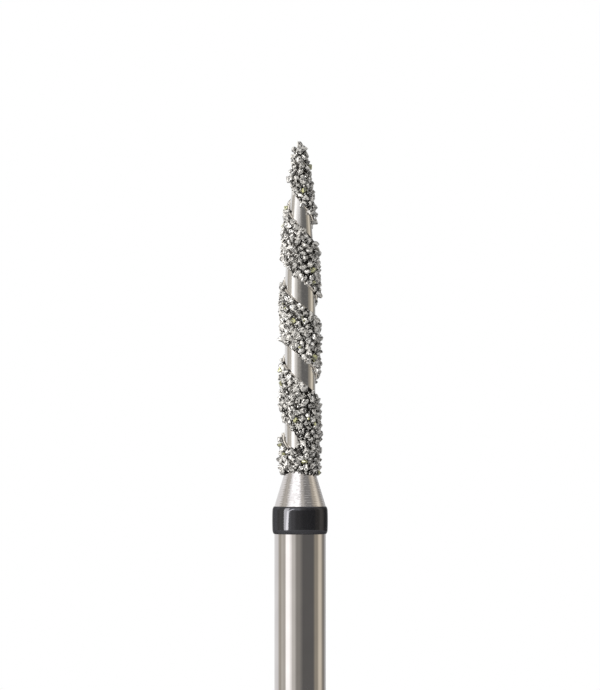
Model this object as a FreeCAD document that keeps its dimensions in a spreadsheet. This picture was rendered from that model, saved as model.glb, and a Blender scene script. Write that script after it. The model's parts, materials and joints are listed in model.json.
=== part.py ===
import FreeCAD, Part
import Sketcher
import math
import os
import random

# A friction grip dental bur: a turned steel blank, a colour ring on its shank,
# and a spiral coat of coarse diamond grains held on the core by plated nickel.
# The axis is Z. The origin is the middle of the shank's flat tail, and the point is up.

# Driving sizes, in millimetres, degrees and turns: alias, value, meaning
SIZES = [
    ("shank_diameter", 1.60, "Ground shank that the chuck grips"),
    ("shank_length", 9.00, "From the tail up to the colour ring"),
    ("tail_chamfer", 0.16, "Bevel round the tail, across and along"),
    ("ring_height", 0.86, "Colour ring, along the shank"),
    ("ring_thickness", 0.066, "How far the ring's middle stands proud of the shank"),
    ("ring_belly", 0.012, "How far the ring's middle bulges beyond its rims"),
    ("ring_groove", 0.03, "Depth of the vee groove that the ring sits in"),
    ("ring_edge_radius", 0.045, "Rounding of the ring's two outer edges"),
    ("neck_length", 1.07, "Cone from the shank down to the core"),
    ("core_diameter", 0.95, "Straight part of the core"),
    ("core_length", 10.05, "From the cone's top to the core's point"),
    ("ogive_length", 5.10, "Curved part of the core and its short point"),
    ("core_tip_length", 0.06, "Short point at the end of the curve"),
    ("core_tip_diameter", 0.18, "Foot of that short point"),
    ("plating_thickness", 0.07, "Nickel over the core, between the grains"),
    ("plating_drop", 0.12, "How far the nickel reaches down over the cone"),
    ("channel_pitch", 2.39, "Rise of the bare spiral channel in one turn"),
    ("channel_width", 0.73, "Height of the channel, measured along the axis"),
    ("channel_start", 0.90, "Middle of the channel's lower end, above the cone's top"),
    ("channel_start_angle", 261.0, "Where the lower end lies round the axis"),
    ("channel_turns", 3.52, "Length of the channel, left-handed going up"),
    ("grain_cell", 0.20, "Side of the square patch that one grain takes"),
    ("grain_scatter", 0.045, "How far a grain may stray from its even place"),
    ("grain_reach", 0.135, "Furthest that a grain's foot spreads from its middle"),
    ("grain_gap", 0.007, "Least distance from a grain to the line half way to the next"),
    ("grain_clearance", 0.002, "Least gap from a grain's flat foot to the nickel's curved face"),
    ("grain_low", 0.09, "Least height of a grain above the nickel"),
    ("grain_high", 0.17, "Greatest height of a grain above the nickel"),
]
SHEET = "sizes"
CURVE_TAPERS = 4
FOOT_CORNERS = 7
CROWN_CORNERS = 3
SHORTEST_SIDE = 0.27
NARROWEST_FOOT = 0.17
YELLOW_EVERY = 23
SEED = 7
MOST_OF_RIM = 0.9
GOLDEN_ANGLE = math.pi * (3 - math.sqrt(5))


def make_sheet(doc):
    """The spreadsheet of driving sizes, one alias to a row."""
    sheet = doc.addObject("Spreadsheet::Sheet", SHEET)
    for row, (alias, value, meaning) in enumerate(SIZES, start=1):
        sheet.set(f"A{row}", meaning)
        sheet.set(f"B{row}", str(value))
        sheet.setAlias(f"B{row}", alias)
    doc.recompute()
    return sheet


class Levels:
    """Heights and radii that follow from the driving sizes."""

    def __init__(self, sheet):
        for alias, _, _ in SIZES:
            setattr(self, alias, float(sheet.get(alias)))
        self.shank_radius = self.shank_diameter / 2
        self.ring_radius = self.shank_radius + self.ring_thickness
        self.rim_rounding = min(self.ring_edge_radius, MOST_OF_RIM * (self.ring_thickness - self.ring_belly))
        self.ring_z = self.shank_length + self.ring_height / 2
        self.belly_radius = ((self.ring_height / 2) ** 2 + self.ring_belly**2) / (2 * self.ring_belly)
        self.core_radius = self.core_diameter / 2
        self.neck_z = self.shank_length + self.ring_height
        self.core_z = self.neck_z + self.neck_length
        self.plating_z = self.core_z - self.plating_drop
        self.tip_z = self.core_z + self.core_length
        self.curve_z = self.tip_z - self.ogive_length
        drop = (self.core_diameter - self.core_tip_diameter) / 2
        rise = self.ogive_length - self.core_tip_length
        self.curve_turn = 2 * math.atan(drop / rise)
        self.curve_radius = rise / math.sin(self.curve_turn)

    def on_curve(self, turn, coat):
        """Radius and height on the core's curve, turned so far from its foot, a coat's thickness out."""
        reach = self.curve_radius + coat
        across = self.core_radius - self.curve_radius + reach * math.cos(turn)
        return across, self.curve_z + reach * math.sin(turn)


# The same heights and the same curve, as expressions for sketches
GRIP_Z = f"{SHEET}.shank_length"
SHANK_RADIUS = f"{SHEET}.shank_diameter / 2"
RIM_ROUNDING = (
    f"min({SHEET}.ring_edge_radius; {MOST_OF_RIM} * ({SHEET}.ring_thickness - {SHEET}.ring_belly))"
)
RING_Z = f"{GRIP_Z} + {SHEET}.ring_height / 2"
BELLY_RADIUS = f"(({SHEET}.ring_height / 2) ^ 2 + {SHEET}.ring_belly ^ 2) / (2 * {SHEET}.ring_belly)"
NECK_Z = f"{GRIP_Z} + {SHEET}.ring_height"
CORE_Z = f"{NECK_Z} + {SHEET}.neck_length"
PLATING_Z = f"{CORE_Z} - {SHEET}.plating_drop"
TIP_Z = f"{CORE_Z} + {SHEET}.core_length"
CURVE_Z = f"{TIP_Z} - {SHEET}.ogive_length"
CORE_RADIUS = f"{SHEET}.core_diameter / 2"
CURVE_DROP = f"({SHEET}.core_diameter - {SHEET}.core_tip_diameter) / 2"
CURVE_RISE = f"({SHEET}.ogive_length - {SHEET}.core_tip_length)"
CURVE_TURN = f"2 * atan({CURVE_DROP} / {CURVE_RISE})"
CURVE_RADIUS = f"{CURVE_RISE} / sin({CURVE_TURN})"


def new_body(doc, name):
    body = doc.addObject("PartDesign::Body", name)
    body.Label = name
    return body


def origin_feature(body, role):
    for feature in body.Origin.OriginFeatures:
        if feature.Role == role:
            return feature
    raise RuntimeError(f"{body.Name} has no {role}")


def new_sketch(body, name):
    """A sketch on the body's XZ plane: across is the radius, up is the height."""
    sketch = body.newObject("Sketcher::SketchObject", name)
    sketch.AttachmentSupport = [(origin_feature(body, "XZ_Plane"), "")]
    sketch.MapMode = "FlatFace"
    return sketch


def bind(sketch, name, expression, *constraint):
    """Adds a dimension and ties it to cells of the sheet."""
    index = sketch.addConstraint(Sketcher.Constraint(*constraint))
    sketch.renameConstraint(index, name)
    sketch.setExpression(f"Constraints.{name}", expression)


def add_line(sketch, start, end):
    points = [FreeCAD.Vector(x, y, 0) for x, y in (start, end)]
    return sketch.addGeometry(Part.LineSegment(*points), False)


def add_arc(sketch, centre, radius, start, end):
    """An arc, which runs anticlockwise from its start angle to its end angle."""
    circle = Part.Circle(FreeCAD.Vector(*centre, 0), FreeCAD.Vector(0, 0, 1), radius)
    return sketch.addGeometry(Part.ArcOfCircle(circle, start, end), False)


def join(sketch, first, second):
    """The end of one edge is the start of the next."""
    sketch.addConstraint(Sketcher.Constraint("Coincident", first, 2, second, 1))


def add_groove(sketch, levels, start, end):
    """The vee groove that the ring sits in: two tapers, from the shank at one height to the other."""
    shank = levels.shank_radius
    deepest = (shank - levels.ring_groove, levels.ring_z)
    first = add_line(sketch, (shank, start), deepest)
    last = add_line(sketch, deepest, (shank, end))
    join(sketch, first, last)
    groove_words = f"{SHANK_RADIUS} - {SHEET}.ring_groove"
    bind(sketch, "groove_radius", groove_words, "DistanceX", -1, 1, first, 2, deepest[0])
    bind(sketch, "groove_height", RING_Z, "DistanceY", -1, 1, first, 2, deepest[1])
    return first, last


def add_point_side(sketch, side, levels, coat, coat_words):
    """The curve above a core's straight side, ground as short tapers, and its steep point.

    A coat moves the outline out by its thickness. Returns the last line, which ends on the axis."""
    bind(sketch, "curve_foot", CURVE_Z, "DistanceY", -1, 1, side, 2, levels.curve_z)
    last = side
    corner = (levels.core_radius + coat, levels.curve_z)
    for step in range(1, CURVE_TAPERS + 1):
        turn_words = f"{CURVE_TURN} * {step} / {CURVE_TAPERS}"
        reach_words = f"({CURVE_RADIUS} + {coat_words})"
        across_words = f"{CORE_RADIUS} - {CURVE_RADIUS} + {reach_words} * cos({turn_words})"
        height_words = f"{CURVE_Z} + {reach_words} * sin({turn_words})"
        across, height = levels.on_curve(levels.curve_turn * step / CURVE_TAPERS, coat)
        taper = add_line(sketch, corner, (across, height))
        join(sketch, last, taper)
        bind(sketch, f"taper_{step}_radius", across_words, "DistanceX", -1, 1, taper, 2, across)
        bind(sketch, f"taper_{step}_height", height_words, "DistanceY", -1, 1, taper, 2, height)
        last = taper
        corner = (across, height)
    point = add_line(sketch, corner, (0, levels.tip_z + coat))
    join(sketch, last, point)
    sketch.addConstraint(Sketcher.Constraint("PointOnObject", point, 2, -2))
    bind(sketch, "tip_top", f"{TIP_Z} + {coat_words}", "DistanceY", -1, 1, point, 2, levels.tip_z + coat)
    return point


def revolve(body, sketch, name):
    feature = body.newObject("PartDesign::Revolution", name)
    feature.Profile = sketch
    feature.ReferenceAxis = (sketch, ["V_Axis"])
    feature.Angle = 360
    return feature


def make_blank(doc, levels):
    """Shank, neck cone and pointed core, turned and ground in one piece."""
    body = new_body(doc, "steel_blank")
    sketch = new_sketch(body, "blank_outline")
    bevel = levels.tail_chamfer
    shank = levels.shank_radius
    core = levels.core_radius
    tail = add_line(sketch, (0, 0), (shank - bevel, 0))
    chamfer = add_line(sketch, (shank - bevel, 0), (shank, bevel))
    grip = add_line(sketch, (shank, bevel), (shank, levels.shank_length))
    lower_taper, upper_taper = add_groove(sketch, levels, levels.shank_length, levels.neck_z)
    neck = add_line(sketch, (shank, levels.neck_z), (core, levels.core_z))
    side = add_line(sketch, (core, levels.core_z), (core, levels.curve_z))
    for first, second in (
        (tail, chamfer),
        (chamfer, grip),
        (grip, lower_taper),
        (upper_taper, neck),
        (neck, side),
    ):
        join(sketch, first, second)
    sketch.addConstraint(Sketcher.Constraint("Coincident", tail, 1, -1, 1))
    sketch.addConstraint(Sketcher.Constraint("Horizontal", tail))
    for upright in (grip, side):
        sketch.addConstraint(Sketcher.Constraint("Vertical", upright))
    tip = add_point_side(sketch, side, levels, 0, "0")
    axis = add_line(sketch, (0, levels.tip_z), (0, 0))
    join(sketch, tip, axis)
    sketch.addConstraint(Sketcher.Constraint("Coincident", axis, 2, tail, 1))
    bind(sketch, "shank_radius", SHANK_RADIUS, "DistanceX", -1, 1, grip, 2, shank)
    bind(sketch, "bevel_across", f"{SHEET}.tail_chamfer", "DistanceX", chamfer, 1, chamfer, 2, bevel)
    bind(sketch, "bevel_along", f"{SHEET}.tail_chamfer", "DistanceY", chamfer, 1, chamfer, 2, bevel)
    bind(sketch, "grip_height", GRIP_Z, "DistanceY", -1, 1, grip, 2, levels.shank_length)
    bind(sketch, "neck_height", NECK_Z, "DistanceY", -1, 1, neck, 1, levels.neck_z)
    bind(sketch, "neck_radius", SHANK_RADIUS, "DistanceX", -1, 1, neck, 1, shank)
    bind(sketch, "core_height", CORE_Z, "DistanceY", -1, 1, neck, 2, levels.core_z)
    bind(sketch, "core_radius", CORE_RADIUS, "DistanceX", -1, 1, neck, 2, core)
    revolve(body, sketch, "turned_blank")
    return body


def make_ring(doc, levels):
    """The colour ring that marks the grit: it fills the shank's groove and bulges, with rounded rims."""
    body = new_body(doc, "colour_ring")
    sketch = new_sketch(body, "ring_section")
    shank = levels.shank_radius
    rounding = levels.rim_rounding
    rim = levels.ring_radius - levels.ring_belly - rounding
    low = levels.shank_length
    high = levels.neck_z
    bend = levels.belly_radius
    turn = math.asin(levels.ring_height / 2 / bend)
    centre = levels.ring_radius - bend
    bottom = add_line(sketch, (shank, low), (rim, low))
    lower_rim = add_arc(sketch, (rim, low + rounding), rounding, -math.pi / 2, -turn)
    belly = add_arc(sketch, (centre, levels.ring_z), bend, -turn, turn)
    upper_rim = add_arc(sketch, (rim, high - rounding), rounding, turn, math.pi / 2)
    top = add_line(sketch, (rim, high), (shank, high))
    upper_seat, lower_seat = add_groove(sketch, levels, high, low)
    smooth = [bottom, lower_rim, belly, upper_rim, top]
    for first, second in zip(smooth, smooth[1:]):
        sketch.addConstraint(Sketcher.Constraint("Tangent", first, 2, second, 1))
    join(sketch, top, upper_seat)
    join(sketch, lower_seat, bottom)
    for level in (bottom, top):
        sketch.addConstraint(Sketcher.Constraint("Horizontal", level))
    sketch.addConstraint(Sketcher.Constraint("Vertical", top, 2, bottom, 1))
    centre_words = f"{SHANK_RADIUS} + {SHEET}.ring_thickness - {BELLY_RADIUS}"
    bind(sketch, "shank_radius", SHANK_RADIUS, "DistanceX", -1, 1, bottom, 1, shank)
    bind(sketch, "foot", GRIP_Z, "DistanceY", -1, 1, bottom, 1, low)
    bind(sketch, "height", NECK_Z, "DistanceY", -1, 1, top, 1, high)
    bind(sketch, "lower_rounding", RIM_ROUNDING, "Radius", lower_rim, rounding)
    bind(sketch, "upper_rounding", RIM_ROUNDING, "Radius", upper_rim, rounding)
    bind(sketch, "belly_bend", BELLY_RADIUS, "Radius", belly, bend)
    bind(sketch, "belly_centre", centre_words, "DistanceX", -1, 1, belly, 3, centre)
    bind(sketch, "belly_middle", RING_Z, "DistanceY", -1, 1, belly, 3, levels.ring_z)
    revolve(body, sketch, "turned_ring")
    return body


def make_plating(doc, levels, blank):
    """Nickel over the whole core, but for a spiral channel that leaves the steel bare."""
    body = new_body(doc, "plating_form")
    sketch = new_sketch(body, "plating_outline")
    thickness = levels.plating_thickness
    outer = levels.core_radius + thickness
    thickness_words = f"{SHEET}.plating_thickness"
    outer_words = f"{CORE_RADIUS} + {thickness_words}"
    foot = add_line(sketch, (0, levels.plating_z), (outer, levels.plating_z))
    side = add_line(sketch, (outer, levels.plating_z), (outer, levels.curve_z))
    join(sketch, foot, side)
    sketch.addConstraint(Sketcher.Constraint("PointOnObject", foot, 1, -2))
    sketch.addConstraint(Sketcher.Constraint("Horizontal", foot))
    sketch.addConstraint(Sketcher.Constraint("Vertical", side))
    tip = add_point_side(sketch, side, levels, thickness, thickness_words)
    axis = add_line(sketch, (0, levels.tip_z + thickness), (0, levels.plating_z))
    join(sketch, tip, axis)
    join(sketch, axis, foot)
    bind(sketch, "foot_height", PLATING_Z, "DistanceY", -1, 1, foot, 1, levels.plating_z)
    bind(sketch, "outer_radius", outer_words, "DistanceX", foot, 1, foot, 2, outer)
    revolve(body, sketch, "plated_core")
    doc.recompute()
    cut_channel(body, levels)
    coat = doc.addObject("Part::Cut", "nickel_plating")
    coat.Label = "nickel_plating"
    coat.Base = body
    coat.Tool = blank
    return coat


def cut_channel(body, levels):
    """The bare channel: an upright slot in section, wound left-handed up the core."""
    section = new_sketch(body, "channel_section")
    turned = FreeCAD.Rotation(FreeCAD.Vector(0, 1, 0), levels.channel_start_angle)
    section.AttachmentOffset = FreeCAD.Placement(FreeCAD.Vector(0, 0, 0), turned)
    section.setExpression("AttachmentOffset.Rotation.Angle", f"{SHEET}.channel_start_angle * 1 deg")
    inner = levels.core_tip_diameter / 2
    outer = levels.core_radius + 2 * levels.plating_thickness
    low = levels.core_z + levels.channel_start - levels.channel_width / 2
    high = low + levels.channel_width
    corners = [(inner, low), (outer, low), (outer, high), (inner, high)]
    edges = [add_line(section, corners[i], corners[(i + 1) % 4]) for i in range(4)]
    for i in range(4):
        join(section, edges[i], edges[(i + 1) % 4])
    for i, kind in enumerate(("Horizontal", "Vertical", "Horizontal", "Vertical")):
        section.addConstraint(Sketcher.Constraint(kind, edges[i]))
    bottom, side = edges[0], edges[1]
    inner_words = f"{SHEET}.core_tip_diameter / 2"
    outer_words = f"{CORE_RADIUS} + 2 * {SHEET}.plating_thickness"
    low_words = f"{CORE_Z} + {SHEET}.channel_start - {SHEET}.channel_width / 2"
    bind(section, "inner_reach", inner_words, "DistanceX", -1, 1, bottom, 1, inner)
    bind(section, "outer_reach", outer_words, "DistanceX", -1, 1, bottom, 2, outer)
    bind(section, "lower_wall", low_words, "DistanceY", -1, 1, bottom, 1, low)
    bind(section, "width", f"{SHEET}.channel_width", "DistanceY", side, 1, side, 2, high - low)
    before = body.Shape.Volume
    channel = body.newObject("PartDesign::SubtractiveHelix", "spiral_channel")
    channel.Profile = section
    channel.ReferenceAxis = (origin_feature(body, "Z_Axis"), [""])
    channel.Mode = "pitch-turns-angle"
    channel.LeftHanded = True
    channel.setExpression("Pitch", f"{SHEET}.channel_pitch")
    channel.setExpression("Turns", f"{SHEET}.channel_turns")
    body.Document.recompute()
    if body.Shape.Volume >= before:
        raise RuntimeError("the spiral channel cut nothing")


class Meridian:
    """The nickel's outline from its lower edge to its point, by distance along it."""

    def __init__(self, levels):
        self.levels = levels
        self.coat = levels.plating_thickness
        self.straight = levels.curve_z - levels.plating_z
        self.curve = (levels.curve_radius + self.coat) * levels.curve_turn
        self.shoulder = levels.on_curve(levels.curve_turn, self.coat)
        self.apex_z = levels.tip_z + self.coat
        self.point = math.hypot(self.shoulder[0], self.apex_z - self.shoulder[1])
        self.length = self.straight + self.curve + self.point

    def at(self, along):
        """Radius, height and the normal's tilt above level."""
        if along < self.straight:
            return self.levels.core_radius + self.coat, self.levels.plating_z + along, 0.0
        along -= self.straight
        if along < self.curve:
            turn = self.levels.curve_turn * along / self.curve
            radius, height = self.levels.on_curve(turn, self.coat)
            return radius, height, turn
        share = (along - self.curve) / self.point
        rise = self.apex_z - self.shoulder[1]
        tilt = math.atan2(self.shoulder[0], rise)
        return self.shoulder[0] * (1 - share), self.shoulder[1] + rise * share, tilt


class Seat:
    """The place of one grain on the nickel: its middle, its normal and two directions along the surface."""

    def __init__(self, along, angle, radius, height, tilt):
        self.along = along
        self.angle = angle
        self.radius = radius
        east = (math.cos(angle), math.sin(angle))
        self.middle = FreeCAD.Vector(radius * east[0], radius * east[1], height)
        self.round = FreeCAD.Vector(-east[1], east[0], 0)
        self.out = FreeCAD.Vector(east[0] * math.cos(tilt), east[1] * math.cos(tilt), math.sin(tilt))
        self.up = self.out.cross(self.round)

    def place(self, across, upward, outward):
        return self.middle + self.round * across + self.up * upward + self.out * outward


def channel_distance(levels, seat):
    """How far along the axis the seat is from the middle of the nearest turn, or None past the ends.

    Positive where that turn is above the seat."""
    height = seat.middle.z - levels.core_z - levels.channel_start
    turned = math.radians(levels.channel_start_angle) - seat.angle
    share = (turned / (2 * math.pi)) % 1.0
    turn = round(height / levels.channel_pitch - share) + share
    margin = levels.grain_reach / (2 * math.pi * max(seat.radius, levels.grain_reach))
    if turn < -margin or turn > levels.channel_turns + margin:
        return None
    return turn * levels.channel_pitch - height


def grain_seats(levels, chance):
    """Seats spread evenly over the nickel, one golden angle after another, clear of the channel."""
    meridian = Meridian(levels)
    patch = levels.grain_cell**2
    seats = []
    along = levels.grain_cell / 2
    number = 0
    while along < meridian.length - levels.grain_cell / 2:
        radius = meridian.at(along)[0]
        strayed = along + levels.grain_scatter * chance.uniform(-1, 1)
        angle = number * GOLDEN_ANGLE + levels.grain_scatter * chance.uniform(-1, 1) / radius
        seat = Seat(strayed, angle % (2 * math.pi), *meridian.at(strayed))
        distance = channel_distance(levels, seat)
        if distance is None or abs(distance) > levels.channel_width / 2:
            seats.append(seat)
        along += patch / (2 * math.pi * radius)
        number += 1
    seats.append(Seat(meridian.length, 0.0, 0.0, meridian.apex_z, math.pi / 2))
    return seats


def clip(polygon, direction, limit):
    """The part of a polygon where its distance along direction is at most limit."""
    kept = []
    for i, start in enumerate(polygon):
        end = polygon[(i + 1) % len(polygon)]
        before = start[0] * direction[0] + start[1] * direction[1] - limit
        after = end[0] * direction[0] + end[1] * direction[1] - limit
        if before <= 0:
            kept.append(start)
        if before * after < 0:
            share = before / (before - after)
            kept.append((start[0] + (end[0] - start[0]) * share, start[1] + (end[1] - start[1]) * share))
    return kept


def foot_outline(levels, seats, index):
    """A grain's foot: a polygon about its seat, cut half way to each neighbour and at the coat's edges."""
    seat = seats[index]
    reach = levels.grain_reach
    outline = []
    for corner in range(FOOT_CORNERS):
        angle = 2 * math.pi * (corner + 0.5) / FOOT_CORNERS
        outline.append((reach * math.cos(angle), reach * math.sin(angle)))
    for other in seats:
        if other is seat or abs(other.along - seat.along) > 2 * reach:
            continue
        step = other.middle - seat.middle
        if step.Length > 2 * reach:
            continue
        direction = (step.dot(seat.round), step.dot(seat.up))
        size = math.hypot(*direction)
        direction = (direction[0] / size, direction[1] / size)
        outline = clip(outline, direction, step.Length**2 / (2 * size) - levels.grain_gap)
    outline = clip(outline, (0, -1), seat.along)
    distance = channel_distance(levels, seat)
    if distance is not None:
        slope = math.atan(levels.channel_pitch / (2 * math.pi * seat.radius))
        sign = math.copysign(1, distance)
        limit = (abs(distance) - levels.channel_width / 2) * math.cos(slope)
        outline = clip(outline, (sign * math.sin(slope), sign * math.cos(slope)), limit)
    return drop_short_sides(outline, levels.grain_cell * SHORTEST_SIDE)


def drop_short_sides(outline, least):
    kept = []
    for i, corner in enumerate(outline):
        before = outline[i - 1]
        if math.hypot(corner[0] - before[0], corner[1] - before[1]) > least:
            kept.append(corner)
    return kept


def stitch(foot_angles, crown_angles):
    """Triangles between two rings of corners, each ring numbered in order of angle."""
    steps = [(angle, 0, i) for i, angle in enumerate(foot_angles)]
    steps += [(angle, 1, i) for i, angle in enumerate(crown_angles)]
    steps.sort()
    last = [len(foot_angles) - 1, len(crown_angles) - 1]
    triangles = []
    for _, ring, i in steps:
        if ring == 0:
            triangles.append((("foot", last[0]), ("foot", i), ("crown", last[1])))
        else:
            triangles.append((("foot", last[0]), ("crown", i), ("crown", last[1])))
        last[ring] = i
    return triangles


def solid_from(points, faces):
    """A closed solid with flat faces, from named corners. Neighbouring faces share an edge."""
    edges = {}
    made = []
    for face in faces:
        sides = []
        for i, start in enumerate(face):
            end = face[(i + 1) % len(face)]
            key = (min(start, end), max(start, end))
            if key not in edges:
                edges[key] = Part.LineSegment(points[key[0]], points[key[1]]).toShape()
            sides.append(edges[key])
        made.append(Part.Face(Part.Wire(sides)))
    solid = Part.makeSolid(Part.makeShell(made))
    if solid.Volume < 0:
        solid.reverse()
    return solid


def make_grain(levels, seats, index, chance):
    """One crystal: a flat foot on the nickel, sloping facets and a smaller tilted crown."""
    seat = seats[index]
    foot = foot_outline(levels, seats, index)
    if len(foot) < 3:
        return None
    centre = [sum(corner[i] for corner in foot) / len(foot) for i in (0, 1)]
    spokes = sorted((math.atan2(y - centre[1], x - centre[0]), x, y) for x, y in foot)
    inside = min(math.hypot(x - centre[0], y - centre[1]) for _, x, y in spokes)
    if inside < levels.grain_cell * NARROWEST_FOOT:
        return None
    height = levels.grain_low + (levels.grain_high - levels.grain_low) * chance.random()
    start = chance.random() * 2 * math.pi
    crown = []
    for corner in range(CROWN_CORNERS):
        angle = start + 2 * math.pi * (corner + 0.5 * chance.random()) / CROWN_CORNERS
        angle = math.atan2(math.sin(angle), math.cos(angle))
        reach = inside * (0.5 + 0.3 * chance.random())
        crown.append((angle, reach, height * (0.72 + 0.28 * chance.random())))
    crown.sort()
    points = {}
    for i, (_, x, y) in enumerate(spokes):
        points[("foot", i)] = seat.place(x, y, levels.grain_clearance)
    for i, (angle, reach, rise) in enumerate(crown):
        x = centre[0] + reach * math.cos(angle)
        y = centre[1] + reach * math.sin(angle)
        points[("crown", i)] = seat.place(x, y, rise)
    faces = stitch([spoke[0] for spoke in spokes], [point[0] for point in crown])
    faces.append([("foot", i) for i in reversed(range(len(spokes)))])
    faces.append([("crown", i) for i in range(len(crown))])
    return solid_from(points, faces)


def make_grains(doc, levels):
    """Every grain of the coat, the clear ones and the yellow ones apart."""
    chance = random.Random(SEED)
    seats = grain_seats(levels, chance)
    clear, yellow = [], []
    for index in range(len(seats)):
        grain = make_grain(levels, seats, index, chance)
        if grain is None:
            continue
        (yellow if index % YELLOW_EVERY == 0 else clear).append(grain)
    nodes = []
    for name, grains in (("clear_grains", clear), ("yellow_grains", yellow)):
        node = doc.addObject("Part::Feature", name)
        node.Label = name
        node.Shape = Part.makeCompound(grains)
        nodes.append(node)
    return nodes


def check(doc, nodes):
    for thing in doc.Objects:
        if "Invalid" in thing.State or "Error" in thing.State:
            raise RuntimeError(f"{thing.Name} failed: {thing.State}")
    for node in nodes:
        if node.Shape.isNull() or not node.Shape.isValid() or not node.Shape.Solids:
            raise RuntimeError(f"{node.Label} has no valid solid")


def main():
    doc = FreeCAD.newDocument("dental_bur")
    levels = Levels(make_sheet(doc))
    blank = make_blank(doc, levels)
    ring = make_ring(doc, levels)
    plating = make_plating(doc, levels, blank)
    grains = make_grains(doc, levels)
    doc.recompute()
    nodes = [blank, ring, plating, *grains]
    check(doc, nodes)
    os.makedirs("parts", exist_ok=True)
    for node in nodes:
        node.Shape.exportStep(f"parts/{node.Label}.step")
        print(node.Label, len(node.Shape.Solids), "solids", round(node.Shape.Volume, 4), "mm3")
    return doc


main()
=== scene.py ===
import itertools
import json
import math
import random

import bmesh
import bpy
import numpy as np
from bpy.props import FloatProperty, FloatVectorProperty, IntProperty, PointerProperty
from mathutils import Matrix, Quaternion, Vector, kdtree, noise

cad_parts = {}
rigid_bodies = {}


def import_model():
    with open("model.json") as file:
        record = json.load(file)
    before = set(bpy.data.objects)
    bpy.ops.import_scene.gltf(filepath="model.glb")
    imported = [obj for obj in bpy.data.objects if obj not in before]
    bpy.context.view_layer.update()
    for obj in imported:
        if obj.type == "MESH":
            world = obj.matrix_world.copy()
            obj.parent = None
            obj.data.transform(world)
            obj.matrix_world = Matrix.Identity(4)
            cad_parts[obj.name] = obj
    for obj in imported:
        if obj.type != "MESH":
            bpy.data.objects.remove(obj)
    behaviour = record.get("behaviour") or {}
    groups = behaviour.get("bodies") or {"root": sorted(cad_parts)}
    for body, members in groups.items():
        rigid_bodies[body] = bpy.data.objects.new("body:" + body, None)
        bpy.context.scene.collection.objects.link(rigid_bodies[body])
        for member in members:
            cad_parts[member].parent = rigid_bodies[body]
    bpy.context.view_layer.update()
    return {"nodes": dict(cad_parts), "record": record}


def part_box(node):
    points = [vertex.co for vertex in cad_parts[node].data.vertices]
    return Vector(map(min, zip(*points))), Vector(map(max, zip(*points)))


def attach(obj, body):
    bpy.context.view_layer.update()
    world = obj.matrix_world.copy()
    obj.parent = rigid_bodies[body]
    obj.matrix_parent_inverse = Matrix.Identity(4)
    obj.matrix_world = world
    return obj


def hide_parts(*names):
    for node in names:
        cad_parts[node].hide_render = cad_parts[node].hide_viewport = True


bl_info = {
    "name": "Dental bur",
    "version": (1, 0, 0),
    "blender": (4, 5, 0),
    "location": "3D View > Sidebar > Dental bur",
    "description": "Ground steel, ring, nickel and diamond grit for a spiral diamond bur",
    "category": "Object",
}

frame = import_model()

# A millimetre in the frame's metres, and the body that every piece rides on
MM = 0.001
BODY = "root"

# Places that the CAD frame gives
BLANK_LOW, BLANK_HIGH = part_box("steel_blank")
RING_LOW, RING_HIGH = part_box("colour_ring")
NICKEL_LOW, NICKEL_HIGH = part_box("nickel_plating")
SHANK_RADIUS = frame["record"]["mounts"][0]["dims"]["r_mm"] * MM
RING_RADIUS = RING_HIGH.x
NICKEL_RADIUS = NICKEL_HIGH.x

# The ring's middle and half its height
RING_MIDDLE = (RING_LOW.z + RING_HIGH.z) / 2
RING_HALF = (RING_HIGH.z - RING_LOW.z) / 2

# The nickel's thickness, how far it reaches down over the cone, and the core that it covers
PLATING = 0.07 * MM
PLATING_DROP = 0.12 * MM
CORE_RADIUS = NICKEL_RADIUS - PLATING
CORE_Z = NICKEL_LOW.z + PLATING_DROP

# The core draws in along a curve and ends in a short blunt point
CURVE_RISE = 5.04 * MM
POINT_LENGTH = 0.06 * MM
POINT_FOOT_RADIUS = 0.09 * MM
CURVE_FOOT_Z = BLANK_HIGH.z - CURVE_RISE - POINT_LENGTH

# Sides of a turned piece and of the floor
ROUND_SIDES = 192
FLOOR_SIDES = 96


def length(name, default, description):
    """A length that a user may change."""
    return FloatProperty(name=name, description=description, default=default, unit="LENGTH", precision=6)


def colour(name, default, description):
    """A colour that a user may change."""
    return FloatVectorProperty(
        name=name, description=description, default=default, size=3, min=0, max=1, subtype="COLOR"
    )


def portion(name, default, description):
    """A number from 0 to 1 that a user may change."""
    return FloatProperty(name=name, description=description, default=default, min=0, max=1, subtype="FACTOR")


def number(name, default, description):
    """A plain number that a user may change."""
    return FloatProperty(name=name, description=description, default=default)


def degrees(name, default, description):
    """An angle, given in degrees, that a user may change."""
    return FloatProperty(name=name, description=description, default=math.radians(default), subtype="ANGLE")


class BurSteel(bpy.types.PropertyGroup):
    """The turned and ground blank."""

    tail_bevel: length("Tail bevel", 0.16 * MM, "Bevel round the flat tail")
    corner: length("Corner", 0.02 * MM, "Rounding of the turned corners")
    line_pitch: length("Turning lines", 0.053 * MM, "Distance between two turning lines")
    tint: colour("Steel", (0.60, 0.575, 0.57), "Colour of the ground steel")
    shank_roughness: portion("Shank roughness", 0.025, "Roughness of the fine ground shank")
    cone_roughness: portion("Cone roughness", 0.13, "Roughness of the turned cone")
    core_roughness: portion("Core roughness", 0.15, "Roughness of the bare core in the channel")
    core_tint: colour("Core", (0.665, 0.65, 0.64), "Colour of the bare core in the channel")


class BurRing(bpy.types.PropertyGroup):
    """The lacquered ring."""

    belly: length("Belly", 0.012 * MM, "How far the ring's middle bulges beyond its rims")
    rim_depth: length("Rim depth", 0.053 * MM, "Rounding of the ring's outer edges, towards the axis")
    rim_height: length("Rim height", 0.14 * MM, "Rounding of the ring's outer edges, along the axis")
    groove: length("Groove", 0.03 * MM, "Depth of the shallow groove in the shank that the ring fills")
    tint: colour("Lacquer", (0.046, 0.046, 0.051), "Colour of the ring's lacquer")
    roughness: portion("Roughness", 0.05, "Roughness of the lacquer")


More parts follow.
